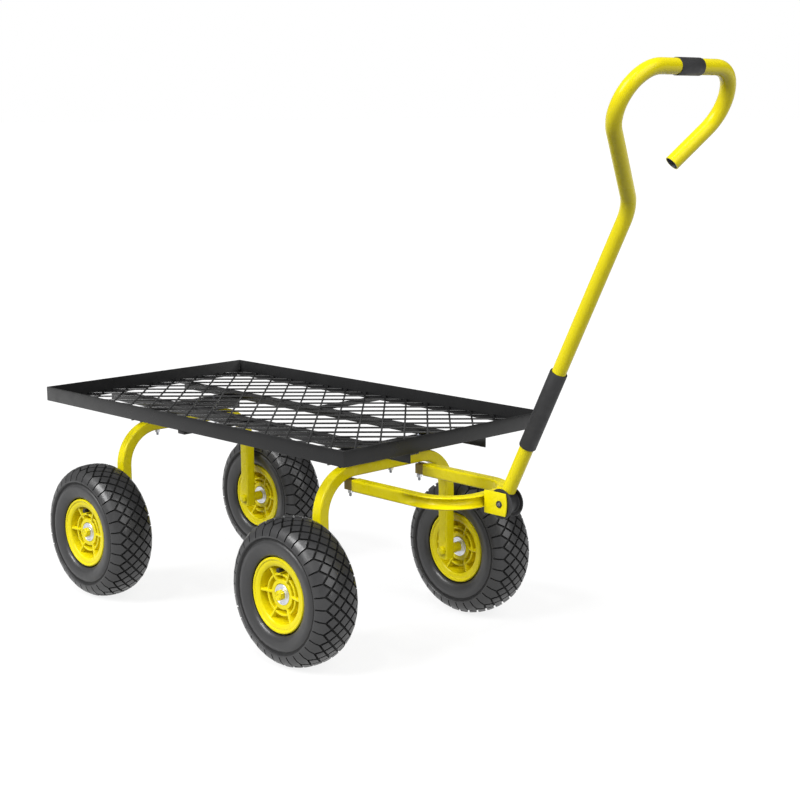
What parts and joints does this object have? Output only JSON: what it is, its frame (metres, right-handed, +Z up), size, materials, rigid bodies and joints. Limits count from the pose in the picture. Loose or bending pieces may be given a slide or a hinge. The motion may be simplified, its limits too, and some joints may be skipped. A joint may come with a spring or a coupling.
{
  "type": "plant trolley",
  "caption": "Garden trolley with a rimmed mesh deck on bent-tube axles, fat tyres on yellow rims, and a hinged pull handle with an open loop.",
  "frame": {"origin": "on the ground under the middle of the overall box at rest", "axes": "+X towards the pull handle, +Y to the trolley's left, +Z up"},
  "size_m": [1.2566, 0.485, 0.9344],
  "materials": {
    "yellow_paint": "gloss powder coat",
    "yellow_plastic": "gloss moulded plastic",
    "black_paint": "satin powder coat",
    "tyre_rubber": "matte rubber",
    "zinc": "zinc plated",
    "black_plastic": "satin"
  },
  "bodies": {
    "trolley": {"tray_frame": "black_paint", "deck_mesh": "black_paint", "rail_left": "black_paint", "side_strut_left": "black_paint", "rail_right": "black_paint", "side_strut_right": "black_paint", "cross_member_front": "black_paint", "axle_tube_front": "yellow_paint", "deck_bolt_front_left": "zinc", "deck_nut_front_left": "zinc", "deck_bolt_front_right": "zinc", "deck_nut_front_right": "zinc", "cross_member_rear": "black_paint", "axle_tube_rear": "yellow_paint", "deck_bolt_rear_left": "zinc", "deck_nut_rear_left": "zinc", "deck_bolt_rear_right": "zinc", "deck_nut_rear_right": "zinc", "fork_bow": "yellow_paint", "hinge_bracket": "yellow_paint", "hinge_bolt": "zinc", "hinge_nut": "zinc", "spindle_front_left": "yellow_paint", "spacer_front_left": "yellow_paint", "spindle_nut_front_left": "yellow_paint", "spindle_front_right": "yellow_paint", "spacer_front_right": "yellow_paint", "spindle_nut_front_right": "yellow_paint", "spindle_rear_left": "yellow_paint", "spacer_rear_left": "yellow_paint", "spindle_nut_rear_left": "yellow_paint", "spindle_rear_right": "yellow_paint", "spacer_rear_right": "yellow_paint", "spindle_nut_rear_right": "yellow_paint"},
    "wheel_front_left": {"tyre_front_left": "tyre_rubber", "rim_front_left": "yellow_plastic", "bearing_outer_front_left": "zinc", "bearing_inner_front_left": "zinc", "valve_front_left": "black_plastic"},
    "wheel_front_right": {"tyre_front_right": "tyre_rubber", "rim_front_right": "yellow_plastic", "bearing_outer_front_right": "zinc", "bearing_inner_front_right": "zinc", "valve_front_right": "black_plastic"},
    "wheel_rear_left": {"tyre_rear_left": "tyre_rubber", "rim_rear_left": "yellow_plastic", "bearing_outer_rear_left": "zinc", "bearing_inner_rear_left": "zinc", "valve_rear_left": "black_plastic"},
    "wheel_rear_right": {"tyre_rear_right": "tyre_rubber", "rim_rear_right": "yellow_plastic", "bearing_outer_rear_right": "zinc", "bearing_inner_rear_right": "zinc", "valve_rear_right": "black_plastic"},
    "handle": {"handle_knuckle": "black_plastic", "handle_tube": "yellow_paint", "bumper_sleeve": "black_plastic", "grip_sleeve": "black_plastic"}
  },
  "joints": [
    {"name": "wheel_spin_front_left", "type": "hinge", "parent": "trolley", "child": "wheel_front_left", "pos_m": [0.0306, 0.2, 0.1202], "axis": [0, 1, 0], "continuous": true},
    {"name": "wheel_spin_front_right", "type": "hinge", "parent": "trolley", "child": "wheel_front_right", "pos_m": [0.0306, -0.2, 0.1202], "axis": [0, 1, 0], "continuous": true},
    {"name": "wheel_spin_rear_left", "type": "hinge", "parent": "trolley", "child": "wheel_rear_left", "pos_m": [-0.5082, 0.2, 0.1202], "axis": [0, 1, 0], "continuous": true},
    {"name": "wheel_spin_rear_right", "type": "hinge", "parent": "trolley", "child": "wheel_rear_right", "pos_m": [-0.5082, -0.2, 0.1202], "axis": [0, 1, 0], "continuous": true},
    {"name": "handle_hinge", "type": "hinge", "parent": "trolley", "child": "handle", "pos_m": [0.2969, 0, 0.275], "axis": [0, 1, 0], "range_deg": [-70, 80]}
  ]
}
